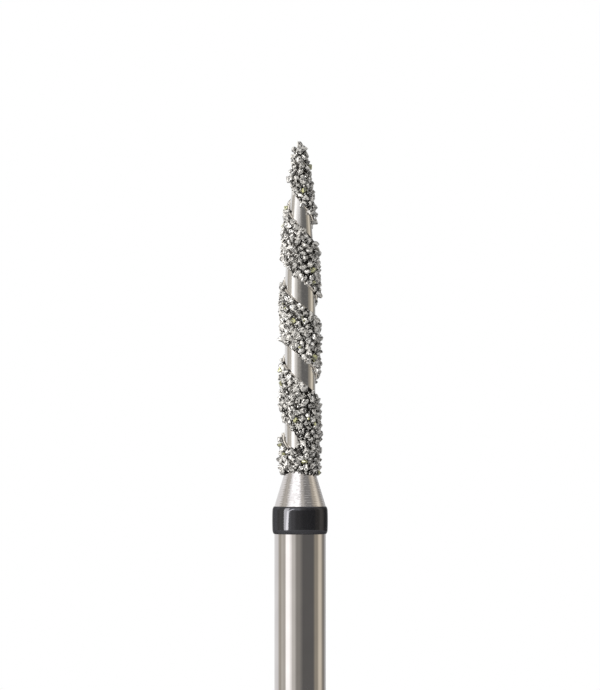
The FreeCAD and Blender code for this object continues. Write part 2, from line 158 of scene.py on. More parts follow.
class BurNickel(bpy.types.PropertyGroup):
    """The plated nickel and its spiral channel."""

    pitch: length("Channel pitch", 2.39 * MM, "Rise of the channel in one turn")
    width: length("Channel width", 0.73 * MM, "Height of the channel along the axis")
    start: length("Channel start", 0.90 * MM, "Middle of the channel's lower end, above the cone")
    start_angle: degrees("Start angle", 261, "Where the lower end lies round the axis")
    turns: number("Turns", 3.52, "Length of the left-handed channel")
    edge: length("Edge", 0.05 * MM, "Rounding of the nickel along its edges")
    end_taper: length("End taper", 0.3 * MM, "Stretch over which the channel narrows to its two ends")
    drape: length("Drape", 0.07 * MM, "How far the crystals above the channel may hang over its edge")
    lip: length("Lip", 0.034 * MM, "Width of the bright rim that the grains leave bare along the channel")
    hem_lift: length("Hem", 0.13 * MM, "How far the coat's ragged lower edge rises at one side")
    hem_angle: degrees("Hem angle", 247, "Where round the axis the lower edge is highest")
    creep: length("Creep", 0.03 * MM, "How high the nickel creeps up round a grain")
    # The lip's colour: partly the nickel's own pale colour, partly a painted highlight along the channel's
    # edge
    lip_highlight_tint: colour("Lip", (0.80, 0.75, 0.68), "Colour of the bright rim")
    # The nickel's colour is darkened nearly to black: painted shade between the grains
    tint: colour("Nickel", (0.025, 0.023, 0.021), "Colour of the plated nickel")
    roughness: portion("Roughness", 0.38, "Roughness of the plated nickel")


class BurGrit(bpy.types.PropertyGroup):
    """The diamond crystals."""

    swell: number("Swell", 0.9, "Size of a crystal against its CAD grain")
    filler_cell: length("Filler cell", 0.075 * MM, "Side of the patch that one small crystal takes")
    filler_low: length("Smallest filler", 0.025 * MM, "Least half width of a small crystal")
    filler_high: length("Largest filler", 0.055 * MM, "Greatest half width of a small crystal")
    shapes: IntProperty(name="Shapes", description="Number of different chopped crystals", default=36)
    # Bright and dark facets: partly the crystals' own clear and smoky tones, partly painted reflection and
    # painted glints
    clear_tint: colour("Clear", (0.83, 0.81, 0.77), "Colour of a bright facet")
    dark_facet_tint: colour("Smoky", (0.017, 0.014, 0.0115), "Colour of a dark facet")
    yellow_tint: colour("Yellow", (0.58, 0.58, 0.28), "Colour of a yellow crystal's bright facet")
    clarity: portion("Clarity", 0.12, "How much light passes through a crystal")
    # Worn edges: chamfered crystal edges that carry painted glints and painted dark lines
    worn_glint_edges: portion("Worn edges", 0.26, "Width of a crystal's worn edges, as a share of its half width")


class BurStudio(bpy.types.PropertyGroup):
    """Floor, lamps and camera."""

    floor_radius: length("Floor radius", 70 * MM, "Radius of the pale floor")
    distance: length("Camera distance", 250 * MM, "From the camera to the axis")
    view_height: length("View height", 21.43 * MM, "Height that the picture takes in")
    aim_height: length("Aim", 14.87 * MM, "Height of the picture's middle")
    lamp_distance: length("Lamp distance", 150 * MM, "From a lamp to the axis")
    strip_light: number("Strip", 10.0, "Brightness of the strip light and of the lamp above it")
    soft_light: number("Softbox", 1.66, "Brightness of the raised softbox")
    ring_light: number("Ring strip", 7.8, "Brightness of the two lamps that light the ring alone")
    fill_light: number("Fill", 1.8, "Brightness of the fill light on the right")
    ambient: number("Ambient", 0.32, "Plain light from all sides")


GROUPS = {
    "bur_steel": BurSteel,
    "bur_ring": BurRing,
    "bur_nickel": BurNickel,
    "bur_grit": BurGrit,
    "bur_studio": BurStudio,
}


def new_object(name, data):
    """An object of a mesh, a lamp or a camera, in the scene."""
    thing = bpy.data.objects.new(name, data)
    bpy.context.scene.collection.objects.link(thing)
    return thing


def add_piece(name, points, faces, sharp=None):
    """A mesh object that rides on the bur. Edges bent more than sharp stay sharp; None leaves facets flat."""
    mesh = bpy.data.meshes.new(name)
    mesh.from_pydata([tuple(point) for point in points], [], faces)
    mesh.validate()
    if sharp is not None:
        mesh.shade_smooth()
        mesh.set_sharp_from_angle(angle=sharp)
    piece = new_object(name, mesh)
    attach(piece, BODY)
    return piece


def lathe(outline, segments):
    """Points and faces of an outline of (radius, height) turned round the axis.

    A radius of 0 closes an end."""
    points, faces, rings = [], [], []
    for radius, height in outline:
        if radius == 0:
            rings.append([len(points)] * segments)
            points.append((0, 0, height))
            continue
        rings.append(list(range(len(points), len(points) + segments)))
        for step in range(segments):
            angle = 2 * math.pi * step / segments
            points.append((radius * math.cos(angle), radius * math.sin(angle), height))
    for lower, upper in zip(rings, rings[1:]):
        for i in range(segments):
            j = (i + 1) % segments
            corners = [lower[i], lower[j], upper[j], upper[i]]
            faces.append(list(dict.fromkeys(corners)))
    return points, faces


# A face longer than LONG_FACE times a corner's reach gets a point at GUARD times that reach, so that
# smooth shading leaves the long face flat
LONG_FACE = 4
GUARD = 1.5


def rounded(outline, radius, steps=4):
    """The outline with each inner corner cut by a small curve, and guard points beside it."""
    result = [outline[0]]
    for before, corner, after in zip(outline, outline[1:], outline[2:]):
        middle = Vector(corner)
        back, on = Vector(before) - middle, Vector(after) - middle
        reach = min(radius, back.length / 2, on.length / 2)
        start, end = middle + back.normalized() * reach, middle + on.normalized() * reach
        if back.length > LONG_FACE * reach:
            result.append(tuple(middle + back.normalized() * reach * GUARD))
        for step in range(steps + 1):
            t = step / steps
            result.append(tuple(start * (1 - t) ** 2 + middle * 2 * t * (1 - t) + end * t**2))
        if on.length > LONG_FACE * reach:
            result.append(tuple(middle + on.normalized() * reach * GUARD))
    result.append(outline[-1])
    return result


def core_curve():
    """Radius of the bend and its whole turn, where the core draws in to its point."""
    turn = 2 * math.atan((CORE_RADIUS - POINT_FOOT_RADIUS) / CURVE_RISE)
    return CURVE_RISE / math.sin(turn), turn


def core_radius_at(height, coat=0.0):
    """Radius of the core, or of a coat over it, at a height."""
    bend, turn = core_curve()
    if height <= CURVE_FOOT_Z:
        return CORE_RADIUS + coat
    shoulder_z = CURVE_FOOT_Z + (bend + coat) * math.sin(turn)
    if height <= shoulder_z:
        rise = height - CURVE_FOOT_Z
        return CORE_RADIUS - bend + math.sqrt((bend + coat) ** 2 - rise**2)
    shoulder = CORE_RADIUS - bend + (bend + coat) * math.cos(turn)
    top = BLANK_HIGH.z + coat
    return shoulder * max(0.0, top - height) / (top - shoulder_z)


def new_material(name):
    """A material with a bare Principled shader, its node tree and the shader."""
    material = bpy.data.materials.new(name)
    material.use_nodes = True
    tree = material.node_tree
    return material, tree, tree.nodes["Principled BSDF"]


def set_inputs(node, inputs):
    """Sets a node's inputs by name or number. Each is a number, a colour or another node's output."""
    for name, value in inputs.items():
        socket = node.inputs[name]
        if isinstance(value, bpy.types.NodeSocket):
            node.id_data.links.new(value, socket)
        elif socket.type == "RGBA":
            socket.default_value = (*value, 1)
        else:
            socket.default_value = value


def add_node(tree, kind, inputs=None, **settings):
    """A node with its settings and its inputs."""
    node = tree.nodes.new(kind)
    for name, value in settings.items():
        setattr(node, name, value)
    set_inputs(node, inputs or {})
    return node


def math_node(tree, operation, *values, clamp=False):
    """What a Math node makes of some numbers or other nodes' outputs."""
    inputs = dict(enumerate(values))
    return add_node(tree, "ShaderNodeMath", inputs, operation=operation, use_clamp=clamp).outputs[0]


def mix_colour(tree, factor, first, second):
    """A mix of two colours. In a colour mix they are the inputs 6 and 7, and the mix is output 2."""
    return add_node(tree, "ShaderNodeMix", {0: factor, 6: first, 7: second}, data_type="RGBA").outputs[2]


def spread(tree, value, low, high, to_low=0.0, to_high=1.0):
    """A value moved from one span to another, and held within it."""
    inputs = {"Value": value, "From Min": low, "From Max": high, "To Min": to_low, "To Max": to_high}
    return add_node(tree, "ShaderNodeMapRange", inputs).outputs[0]


def scaled(tint, factor):
    """A colour made darker or lighter."""
    return tuple(part * factor for part in tint)


def bur_place(tree):
    """The point in the bur's own frame."""
    return add_node(tree, "ShaderNodeTexCoord").outputs["Object"]


def stretched_noise(tree, place, detail, across, along=None):
    """Noise with so many features per metre across the axis, and along it where that differs."""
    scale = (across, across, along or across)
    moved = add_node(tree, "ShaderNodeMapping", {"Vector": place, "Scale": scale}).outputs[0]
    inputs = {"Vector": moved, "Scale": 1.0, "Detail": detail}
    return add_node(tree, "ShaderNodeTexNoise", inputs).outputs["Fac"]


def bumps(tree, height, strength, depth):
    """Normals for a rough face, from a pattern's height."""
    inputs = {"Height": height, "Strength": strength, "Distance": depth}
    return add_node(tree, "ShaderNodeBump", inputs).outputs[0]


def mesh_value(tree, name):
    """A number that the mesh's faces or points hold under a name."""
    return add_node(tree, "ShaderNodeAttribute", attribute_name=name).outputs["Fac"]


def ground_steel(sizes):
    """Bright steel: a fine ground shank, and a coarser turned cone and core."""
    material, tree, shader = new_material("ground_steel")
    place = bur_place(tree)
    height = add_node(tree, "ShaderNodeSeparateXYZ", {"Vector": place}).outputs["Z"]
    per_metre = 1 / sizes.line_pitch
    lines = stretched_noise(tree, place, detail=2.0, across=2400, along=per_metre)
    scratches = stretched_noise(tree, place, detail=0.0, across=9000, along=per_metre)
    torn = stretched_noise(tree, place, detail=1.0, across=9500, along=14000)
    blotches = stretched_noise(tree, place, detail=4.0, across=1500, along=1100)

    # Both are 1 on the cone and nearly 0 beyond it: the one on the shank, the other on the bare core
    blend = 0.1 * MM
    off_shank = spread(tree, height, RING_LOW.z, RING_HIGH.z, 0.02, 1.0)
    off_core = spread(tree, height, CORE_Z - blend, CORE_Z + blend, 1.0, 0.03)

    # The tool's feed leaves even rings, torn into dashes, over finer uneven lines
    feed = math_node(tree, "SINE", math_node(tree, "MULTIPLY", height, 2 * math.pi * per_metre))
    dashes = math_node(tree, "MULTIPLY", feed, spread(tree, torn, 0.4, 0.58, 0.05, 0.6))
    relief = math_node(tree, "MULTIPLY_ADD", lines, 0.3, dashes)
    strength = math_node(tree, "MULTIPLY", off_shank, off_core)

    blotched = mix_colour(tree, spread(tree, blotches, 0.35, 0.65), scaled(sizes.tint, 0.94), sizes.tint)
    on_cone = spread(tree, height, RING_LOW.z, RING_HIGH.z, sizes.shank_roughness, sizes.cone_roughness)
    core_more = sizes.core_roughness - sizes.cone_roughness
    on_core = spread(tree, height, CORE_Z, CORE_Z + 2 * blend, 0.0, core_more)
    uneven = spread(tree, scratches, 0.3, 0.7, 0.8, 1.25)
    set_inputs(shader, {
        "Normal": bumps(tree, relief, strength, depth=0.0028 * MM),
        "Base Color": mix_colour(tree, off_core, sizes.core_tint, blotched),
        "Roughness": math_node(tree, "MULTIPLY", math_node(tree, "ADD", on_cone, on_core), uneven),
        "Metallic": 1.0,
    })
    return material


def ring_lacquer(sizes):
    """Glossy dark lacquer with a faint waviness."""
    material, tree, shader = new_material("ring_lacquer")
    place = bur_place(tree)
    waves = stretched_noise(tree, place, detail=1.0, across=1400, along=900)
    dust = stretched_noise(tree, place, detail=2.0, across=26000)
    set_inputs(shader, {
        "Normal": bumps(tree, waves, strength=0.25, depth=0.006 * MM),
        "Base Color": mix_colour(tree, waves, sizes.tint, scaled(sizes.tint, 1.3)),
        "Roughness": spread(tree, dust, 0.4, 0.75, sizes.roughness, sizes.roughness * 1.8),
        "IOR": 1.6,
        "Metallic": 0.75,
        "Specular Tint": (0.3, 0.3, 0.3),
    })
    return material


def plated_nickel(sizes):
    """Dull nickel, painted nearly black as painted shade between the grains, pebbled and patchy, and pale
    with a painted highlight along its lips.
    """
    material, tree, shader = new_material("plated_nickel")
    place = bur_place(tree)
    pebbles = stretched_noise(tree, place, detail=4.0, across=24000)
    patches = stretched_noise(tree, place, detail=3.0, across=5200)
    # Painted shade: the nickel's nearly black colour, in random darker patches
    coat = mix_colour(tree, spread(tree, patches, 0.35, 0.6), scaled(sizes.tint, 0.45), sizes.tint)
    # The lip takes a pale colour with a painted highlight
    set_inputs(shader, {
        "Normal": bumps(tree, pebbles, strength=0.7, depth=0.012 * MM),
        "Base Color": mix_colour(tree, mesh_value(tree, "lip"), coat, sizes.lip_highlight_tint),
        "Roughness": spread(tree, pebbles, 0.3, 0.7, sizes.roughness, sizes.roughness * 1.5),
        "Metallic": 1.0,
    })
    return material


def diamond(name, sizes, bright, dark_facet):
    """Part clear crystal. The faces' tone attribute says how dark each facet is: partly the crystal's own
    tone, partly painted reflection.
    """
    material, tree, shader = new_material(name)
    place = bur_place(tree)
    tone = mesh_value(tree, "tone")
    flaws = stretched_noise(tree, place, detail=5.0, across=21000)
    cells = add_node(tree, "ShaderNodeTexVoronoi", {"Vector": place, "Scale": 19000.0}).outputs
    cell_tone = add_node(tree, "ShaderNodeSeparateXYZ", {"Vector": cells["Color"]}).outputs[0]
    # Painted reflection: each facet's tone, with a random tone per cell, mixes the bright and dark colours
    facet_darkness = math_node(tree, "ADD", tone, spread(tree, cell_tone, 0.1, 0.9, -0.45, 0.45), clamp=True)
    set_inputs(shader, {
        "Normal": bumps(tree, cells["Distance"], strength=0.45, depth=0.02 * MM),
        "Base Color": mix_colour(tree, facet_darkness, bright, dark_facet),
        "Roughness": spread(tree, flaws, 0.4, 0.7, 0.02, 0.14),
        "Transmission Weight": spread(tree, tone, 0.0, 1.0, sizes.clarity, sizes.clarity * 0.3),
        "IOR": 2.42,
        "Specular IOR Level": 0.3,
    })
    return material


# Shades that a crystal's facet may take, from 0, bright, to 1, dark: partly its own tone, partly painted
# reflection
FACET_SHADES = ((0.35, 0.55), (0.5, 0.7), (0.6, 0.75), (0.65, 0.8), (0.75, 0.9))
# On worn edges: mostly painted glints, and some painted dark lines
EDGE_GLINTS_AND_SHADES = ((0.0, 0.05), (0.0, 0.1), (0.95, 1.0))

# Small yellow crystals at the front, in millimetres: across from the axis and height
YELLOW_SPOTS = (
    (-0.54, 16.11), (-0.46, 16.0), (0.05, 15.74), (0.12, 15.62), (-0.01, 14.81), (0.27, 12.57), (0.46, 12.42),
)
YELLOW_HALF_WIDTH = 0.07 * MM


class BUR_OT_turned_blank(bpy.types.Operator):
    """Turn the steel blank: shank, cone and pointed core"""

    bl_idname = "bur.turned_blank"
    bl_label = "Turned blank"

    def execute(self, context):
        sizes = context.scene.bur_steel
        groove = SHANK_RADIUS - context.scene.bur_ring.groove
        outline = [
            (0, BLANK_LOW.z),
            (SHANK_RADIUS - sizes.tail_bevel, BLANK_LOW.z),
            (SHANK_RADIUS, BLANK_LOW.z + sizes.tail_bevel),
            (SHANK_RADIUS, RING_LOW.z),
            (groove, RING_MIDDLE),
            (SHANK_RADIUS, RING_HIGH.z),
            (CORE_RADIUS, CORE_Z),
        ]
        outline = rounded(outline + [(CORE_RADIUS, CURVE_FOOT_Z)], sizes.corner)
        steps = 40
        for step in range(1, steps):
            height = CURVE_FOOT_Z + (BLANK_HIGH.z - CURVE_FOOT_Z) * step / steps
            outline.append((core_radius_at(height), height))
        outline.append((0, BLANK_HIGH.z))
        points, faces = lathe(outline, ROUND_SIDES)
        piece = add_piece("turned_blank", points, faces, sharp=math.radians(35))
        piece.data.materials.append(ground_steel(sizes))
        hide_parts("steel_blank")
        return {"FINISHED"}


class BUR_OT_ring(bpy.types.Operator):
    """Form the lacquered ring, full at its middle and round at its rims"""

    bl_idname = "bur.ring"
    bl_label = "Colour ring"

    def execute(self, context):
        sizes = context.scene.bur_ring
        outline = [(SHANK_RADIUS - sizes.groove, RING_MIDDLE), (SHANK_RADIUS, RING_LOW.z)]
        steps = 48
        for step in range(steps + 1):
            across = -math.cos(math.pi * step / steps)
            into_rim = max(0.0, 1 - (1 - abs(across)) * RING_HALF / sizes.rim_height)
            drop = sizes.belly * across**2 + sizes.rim_depth * (1 - math.sqrt(1 - into_rim**2))
            outline.append((RING_RADIUS - drop, RING_MIDDLE + RING_HALF * across))
        outline.append((SHANK_RADIUS, RING_HIGH.z))
        points, faces = lathe(outline + [outline[0]], ROUND_SIDES)
        piece = add_piece("lacquered_ring", points, faces, sharp=math.radians(50))
        piece.data.materials.append(ring_lacquer(sizes))
        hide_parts("colour_ring")
        return {"FINISHED"}


def grain_islands(node):
    """The middle and the reach of each separate grain in a CAD node's mesh."""
    mesh = frame["nodes"][node].data
    places = [vertex.co.copy() for vertex in mesh.vertices]
    keys = {}
    parent = []
    for place in places:
        key = tuple(round(part / MM, 4) for part in place)
        parent.append(keys.setdefault(key, len(parent)))

    def root(index):
        while parent[index] != index:
            parent[index] = parent[parent[index]]
            index = parent[index]
        return index

    for polygon in mesh.polygons:
        first = root(polygon.vertices[0])
        for corner in polygon.vertices[1:]:
            parent[root(corner)] = first
    groups = {}
    for index in range(len(places)):
        groups.setdefault(root(index), []).append(places[index])
    grains = []
    for group in groups.values():
        low = Vector(min(place[axis] for place in group) for axis in range(3))
        high = Vector(max(place[axis] for place in group) for axis in range(3))
        middle = (low + high) / 2
        grains.append((middle, max((place - middle).length for place in group)))
    return grains


def grain_tree(grains):
    """A search tree over the middles of the CAD grains."""
    tree = kdtree.KDTree(len(grains))
    for index, (middle, _) in enumerate(grains):
        tree.insert(middle, index)
    tree.balance()
    return tree


# The coat's lower edge: how ragged it is, how busy the rag is, and how far above it crystals still rise
HEM_RAG = 0.02 * MM
HEM_WAVES = 3
HEM_REACH = 0.7 * MM


def hem(sizes, angle):
    """How far the coat's ragged lower edge lies above its lowest, at an angle round the axis."""
    swing = max(0.0, math.cos(angle - sizes.hem_angle)) ** 4
    rag = 1 + noise.noise(Vector((math.cos(angle), math.sin(angle), 0)) * HEM_WAVES)
    return sizes.hem_lift * swing + HEM_RAG * rag


def above_hem(sizes, place):
    """The place of a crystal near the coat's lower edge, lifted with that edge."""
    near = max(0.0, 1 - (place.z - NICKEL_LOW.z) / HEM_REACH)
    return place + Vector((0, 0, near * hem(sizes, math.atan2(place.y, place.x))))


def outward(place):
    """The direction straight out of the coat at a place."""
    step = 0.05 * MM
    level = Vector((place.x, place.y, 0))
    if level.length < step:
        return Vector((0, 0, 1))
    lean = core_radius_at(place.z, PLATING) - core_radius_at(place.z + step, PLATING)
    return (level.normalized() * step + Vector((0, 0, lean))).normalized()


# The channel's width at its two ends, as a share of its full width
END_SHARE = 0.45

# How far crystals' middles stay from the channel's ends, and from the lip beside it, in half widths
END_BARE = 0.1
SIDE_BARE = 0.6

# How far crystals hang over the edge, from 0 to 1: the middle, how much it swings and over what length
DRAPE_MEAN = 0.3
DRAPE_SWING = 1.4
DRAPE_PATCH = 0.45 * MM

# How far a grain is pushed off the edge at most, and from how near one is drawn to it
PUSH_LIMIT = 0.09 * MM
PULL_REACH = 0.3 * MM


class Channel:
    """The bare spiral: how far a place on the coat is from its edge."""

    def __init__(self, sizes):
        self.sizes = sizes
        self.start_z = CORE_Z + sizes.start

    def nearest_edge(self, angle, height, radius):
        """Distance to the channel's edge, below 0 inside it, and 1 or -1: the channel is above or below.

        Near the channel's two ends and beyond them that side is 0."""
        sizes = self.sizes
        part_turn = ((sizes.start_angle - angle) / (2 * math.pi)) % 1.0
        rise = height - self.start_z
        found = []
        for turn in (round(rise / sizes.pitch - part_turn) + part_turn + step for step in (-1, 0, 1)):
            past = max(-turn, turn - sizes.turns) * 2 * math.pi * radius
            side = math.copysign(1, turn * sizes.pitch - rise) if past < -sizes.end_taper else 0
            open_share = min(1.0, END_SHARE - (1 - END_SHARE) * min(past, 0.0) / sizes.end_taper)
            beside = abs(turn * sizes.pitch - rise) - sizes.width / 2 * open_share
            if beside <= 0 and past <= 0:
                return max(beside, past), side
            found.append((math.hypot(max(beside, 0), max(past, 0)), side))
        return min(found)

    def edge_beside(self, place):
        """What nearest_edge gives for a place in the bur's own frame."""
        return self.nearest_edge(math.atan2(place.y, place.x), place.z, math.hypot(place.x, place.y))

    def bare_edge(self, place, side, reach):
        """How far from the channel's edge a crystal stays. Above the channel, some hang over that edge."""
        if side == 0:
            return END_BARE * reach
        bare = self.sizes.lip + SIDE_BARE * reach
        if side > 0:
            return bare
        drape = min(max(DRAPE_MEAN + DRAPE_SWING * noise.noise(place / DRAPE_PATCH), 0.0), 1.0)
        return bare * (1 - drape) - self.sizes.drape * drape

    def clear_of(self, place, reach):
        """The place, moved along the axis so that a crystal lies as the channel's edge asks."""
        distance, side = self.edge_beside(place)
        lack = self.bare_edge(place, side, reach) - distance
        near = max(0.0, 1 - distance / PULL_REACH) if side < 0 else 0.0
        shift = min(lack, PUSH_LIMIT) if lack > 0 else max(lack, -self.sizes.drape) * near
        return place - Vector((0, 0, side * shift))


def chop(form, normal, distance, worn=False):
    """Cuts a closed convex mesh by a plane and closes it again. The new face may count as a worn edge, which
    takes a painted glint or a painted dark line.
    """
    everything = form.verts[:] + form.edges[:] + form.faces[:]
    cut = bmesh.ops.bisect_plane(
        form, geom=everything, plane_co=normal * distance, plane_no=normal, clear_outer=True
    )
    rim = [part for part in cut["geom_cut"] if isinstance(part, bmesh.types.BMEdge)]
    if len(rim) > 2:
        made = bmesh.ops.contextual_create(form, geom=rim)
        for face in made["faces"]:
            face.material_index = int(worn)


def any_direction(chance):
    """A random direction."""
    return Vector((chance.gauss(0, 1), chance.gauss(0, 1), chance.gauss(0, 1))).normalized()


# A crystal starts as a cube that reaches 1 each way. How far from its middle its corners and its chips
# are cut off, how many corners are, and the edges that are too short to keep
CORNER_CUTS = (0.8, 1.2)
CHIP_CUTS = (0.55, 0.9)
CUT_CORNERS = 4
SHORTEST_EDGE = 0.08
SHORTEST_WORN_EDGE = 0.02


def chopped_crystal(chance, chips, wear):
    """A blocky crystal about the origin: a cube with corners and chips cut off, and worn edges.

    Gives its points, its faces, and for each face whether it is a worn edge."""
    form = bmesh.new()
    bmesh.ops.create_cube(form, size=2.0)
    for corner in chance.sample(list(itertools.product((-1, 1), repeat=3)), CUT_CORNERS):
        off_corner = (Vector(corner) + any_direction(chance) / 2).normalized()
        chop(form, off_corner, chance.uniform(*CORNER_CUTS))
    for _ in range(chips):
        chop(form, any_direction(chance), chance.uniform(*CHIP_CUTS))
    bmesh.ops.remove_doubles(form, verts=form.verts[:], dist=SHORTEST_EDGE)
    bmesh.ops.recalc_face_normals(form, faces=form.faces[:])
    form.normal_update()
    cuts = []
    for edge in form.edges:
        first, second = (face.normal for face in edge.link_faces)
        middle = (edge.verts[0].co + edge.verts[1].co) / 2
        normal = (first + second).normalized()
        cuts.append((normal, middle.dot(normal) - wear / 2 * math.tan(first.angle(second) / 2)))
    if wear:
        for normal, distance in cuts:
            chop(form, normal, distance, worn=True)
        bmesh.ops.remove_doubles(form, verts=form.verts[:], dist=SHORTEST_WORN_EDGE)
    bmesh.ops.recalc_face_normals(form, faces=form.faces[:])
    lengths = [vertex.co.length for vertex in form.verts]
    size = (max(lengths) + sum(lengths) / len(lengths)) / 2
    form.verts.index_update()
    points = np.array([vertex.co / size for vertex in form.verts])
    faces = [[vertex.index for vertex in face.verts] for face in form.faces]
    worn_faces = [face.material_index == 1 for face in form.faces]
    form.free()
    return points, faces, worn_faces


def facet_tones(worn_faces, chance):
    """How dark each facet is, from 0 to 1: partly the crystal's own tone, partly painted reflection. Worn
    edges are more often painted as glints than facets are.
    """
    tones = []
    for worn in worn_faces:
        low, high = chance.choice(EDGE_GLINTS_AND_SHADES if worn else FACET_SHADES)
        tones.append(chance.uniform(low, high))
    return tones


# How slim a crystal may be along two of its own three directions
BUILDS = ((0.78, 1.0), (0.85, 1.05))


def place_crystals(name, seats, shapes, chance):
    """One mesh of many crystals, each with a random turn and build. A seat is (middle, half width)."""
    points, faces, tones = [], [], []
    for middle, reach in seats:
        shape_points, shape_faces, worn_faces = chance.choice(shapes)
        turn = np.array(Quaternion(any_direction(chance), chance.uniform(0, 2 * math.pi)).to_matrix())
        build = np.array([*(chance.uniform(*span) for span in BUILDS), 1.0]) * reach
        placed = (shape_points * build) @ turn.T + np.array(middle)
        first = len(points)
        points.extend(placed.tolist())
        faces.extend([[first + corner for corner in face] for face in shape_faces])
        tones.extend(facet_tones(worn_faces, chance))
    piece = add_piece(name, points, faces)
    if len(piece.data.polygons) != len(faces):
        raise RuntimeError(f"{name} lost faces")
    piece.data.attributes.new("tone", "FLOAT", "FACE").data.foreach_set("value", tones)
    return piece


# Small crystals: the bare ends of the coat, how far a seat strays round the axis (radians), how deep
# and how proud it sits (half widths) and how near to a grain's middle it may be (shares of its reach)
FILLER_FOOT = 0.02 * MM
FILLER_TOP = 0.03 * MM
FILLER_STRAY = 0.08
FILLER_DEPTHS = (-0.2, 0.6)
FILLER_APART = 0.4


def filler_seats(sizes, channel, grains, chance):
    """Seats of small crystals: spread by the golden angle, between the grains and over the coat's edges."""
    tree = grain_tree(grains)
    golden = math.pi * (3 - math.sqrt(5))
    seats = []
    height = NICKEL_LOW.z + FILLER_FOOT
    count = 0
    while height < NICKEL_HIGH.z - FILLER_TOP:
        radius = core_radius_at(height, PLATING)
        angle = (count * golden + chance.uniform(-FILLER_STRAY, FILLER_STRAY)) % (2 * math.pi)
        reach = chance.uniform(sizes.filler_low, sizes.filler_high)
        edge, side = channel.nearest_edge(angle, height, radius)
        out = radius + reach * chance.uniform(*FILLER_DEPTHS)
        place = Vector((out * math.cos(angle), out * math.sin(angle), height))
        _, index, apart = tree.find(place)
        between = edge > channel.bare_edge(place, side, reach) and apart > FILLER_APART * grains[index][1]
        if between and height > NICKEL_LOW.z + hem(channel.sizes, angle):
            seats.append((place, reach))
        count += 1
        height += sizes.filler_cell**2 / (2 * math.pi * max(radius, sizes.filler_cell))
    return seats


# A large crystal's size against its CAD grain's, and how deep it is sunk, as a share of its reach
GRAIN_SIZES = (0.8, 1.15)
GRAIN_SINK = 0.12


class BUR_OT_grit(bpy.types.Operator):
    """Grow the diamond crystals: a large one at each CAD grain, and small ones between them"""

    bl_idname = "bur.grit"
    bl_label = "Diamond grit"

    def execute(self, context):
        sizes = context.scene.bur_grit
        chance = random.Random(11)
        shapes = [
            chopped_crystal(chance, chance.randint(2, 4), sizes.worn_glint_edges) for _ in range(sizes.shapes)
        ]
        splinters = [chopped_crystal(chance, chance.randint(1, 3), 0) for _ in range(sizes.shapes)]
        channel = Channel(context.scene.bur_nickel)
        clear_look = diamond("clear_diamond", sizes, sizes.clear_tint, sizes.dark_facet_tint)
        yellow_look = diamond("yellow_diamond", sizes, sizes.yellow_tint, sizes.dark_facet_tint)
        every_grain = []
        for node, name, look in (
            ("clear_grains", "clear_crystals", clear_look),
            ("yellow_grains", "yellow_crystals", yellow_look),
        ):
            grains = grain_islands(node)
            every_grain += grains
            seats = []
            for middle, reach in grains:
                size = reach * sizes.swell * chance.uniform(*GRAIN_SIZES)
                place = above_hem(channel.sizes, middle - outward(middle) * reach * GRAIN_SINK)
                seats.append((channel.clear_of(place, size), size))
            piece = place_crystals(name, seats, shapes, chance)
            piece.data.materials.append(look)
            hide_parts(node)
        spots = []
        for across, height in YELLOW_SPOTS:
            x, z = across * MM, height * MM
            radius = core_radius_at(z, PLATING) + YELLOW_HALF_WIDTH
            spots.append((Vector((x, -math.sqrt(radius**2 - x**2), z)), YELLOW_HALF_WIDTH))
        yellow = place_crystals("fine_yellow_crystals", spots, splinters, chance)
        yellow.data.materials.append(yellow_look)
        seats = filler_seats(sizes, channel, every_grain, chance)
        fine = place_crystals("fine_crystals", seats, splinters, chance)
        fine.data.materials.append(clear_look)
        return {"FINISHED"}


# The coat's mesh: columns in a turn, turns of rows below and above the channel's start, rows from the
# channel's middle to its edge and between two edges, and rows beside an edge as shares of its rounding
COAT_COLUMNS = 150
TURNS_BELOW, TURNS_ABOVE = 2, 5
CHANNEL_ROWS = 4
LAND_ROWS = 26
EDGE_ROWS = (0, 0.12, 0.35, 0.7, 1.15)

# The coat: its shell's thickness, how wide its creep up a grain and its pebbles are, how high the pebbles
# are, and how far its edges dip into the core
COAT_SHELL = 0.03 * MM
CREEP_REACH = 0.15 * MM
PEBBLE_SIZE = 0.05 * MM
PEBBLE_HEIGHT = 0.008 * MM
EDGE_DIP = 0.004 * MM

# How far below its top the coat closes, and the lengths under which two points are joined and an edge
# is dropped
CLOSE = 0.001 * MM
JOIN = 0.0005 * MM
DROP = 0.0003 * MM

# The lip's pale colour and painted highlight: the share of its width at the edge that keeps the nickel's
# painted shade, and where noise of a size breaks it
LIP_GAP = 0.15
LIP_PATCH = 0.2 * MM
LIP_BREAK = -0.3


def row_heights(sizes):
    """Rows over one pitch, from the channel's middle up, with close rows along both edges."""
    half = sizes.width / 2
    rows = [half * step / CHANNEL_ROWS for step in range(CHANNEL_ROWS)]
    close = [sizes.edge * part for part in EDGE_ROWS]
    rows += [half + step for step in close]
    top = sizes.pitch - half
    inner_low, inner_high = half + close[-1], top - close[-1]
    rows += [inner_low + (inner_high - inner_low) * step / LAND_ROWS for step in range(1, LAND_ROWS)]
    rows += [top - step for step in reversed(close)]
    rows += [top + half * step / CHANNEL_ROWS for step in range(1, CHANNEL_ROWS)]
    return rows


